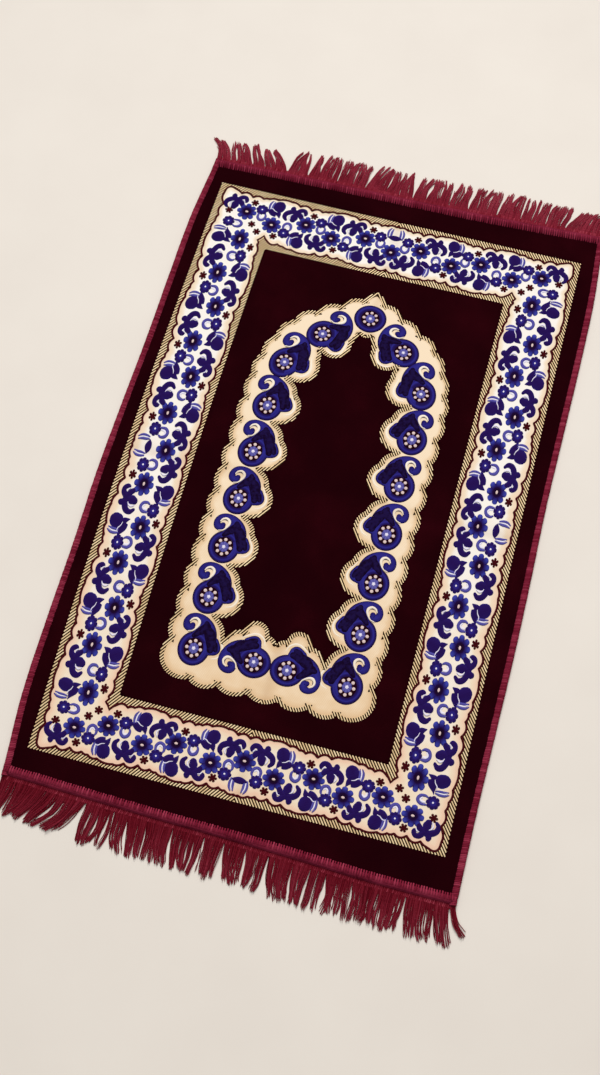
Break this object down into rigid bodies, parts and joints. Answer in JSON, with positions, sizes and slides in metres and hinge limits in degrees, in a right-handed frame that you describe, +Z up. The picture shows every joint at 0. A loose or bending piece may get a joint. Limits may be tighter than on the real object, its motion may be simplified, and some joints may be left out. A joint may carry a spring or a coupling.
{
  "type": "prayer rug",
  "caption": "Flat velvet prayer rug with a woven arch and floral border, overlocked sides, rolled end headings and a yarn fringe along each end.",
  "frame": {"origin": "the flat underside of the cloth, at the middle of the woven design", "axes": "+Z up out of the pile, +Y along the rug to the end that the arch points to, +X to the right"},
  "size_m": [0.6918, 1.2228, 0.0066],
  "materials": {
    "velvet": "cut pile, very dark burgundy, with cream, blue and gold figuring",
    "binding_yarn": "overlocked wine-red yarn, matt",
    "fringe_yarn": "twisted wine-red yarn, matt"
  },
  "bodies": {
    "root": {"rug_cloth": "velvet", "binding_left": "binding_yarn", "binding_right": "binding_yarn", "heading_near": "binding_yarn", "heading_far": "binding_yarn", "fringe_near": "fringe_yarn", "fringe_far": "fringe_yarn"}
  },
  "joints": []
}
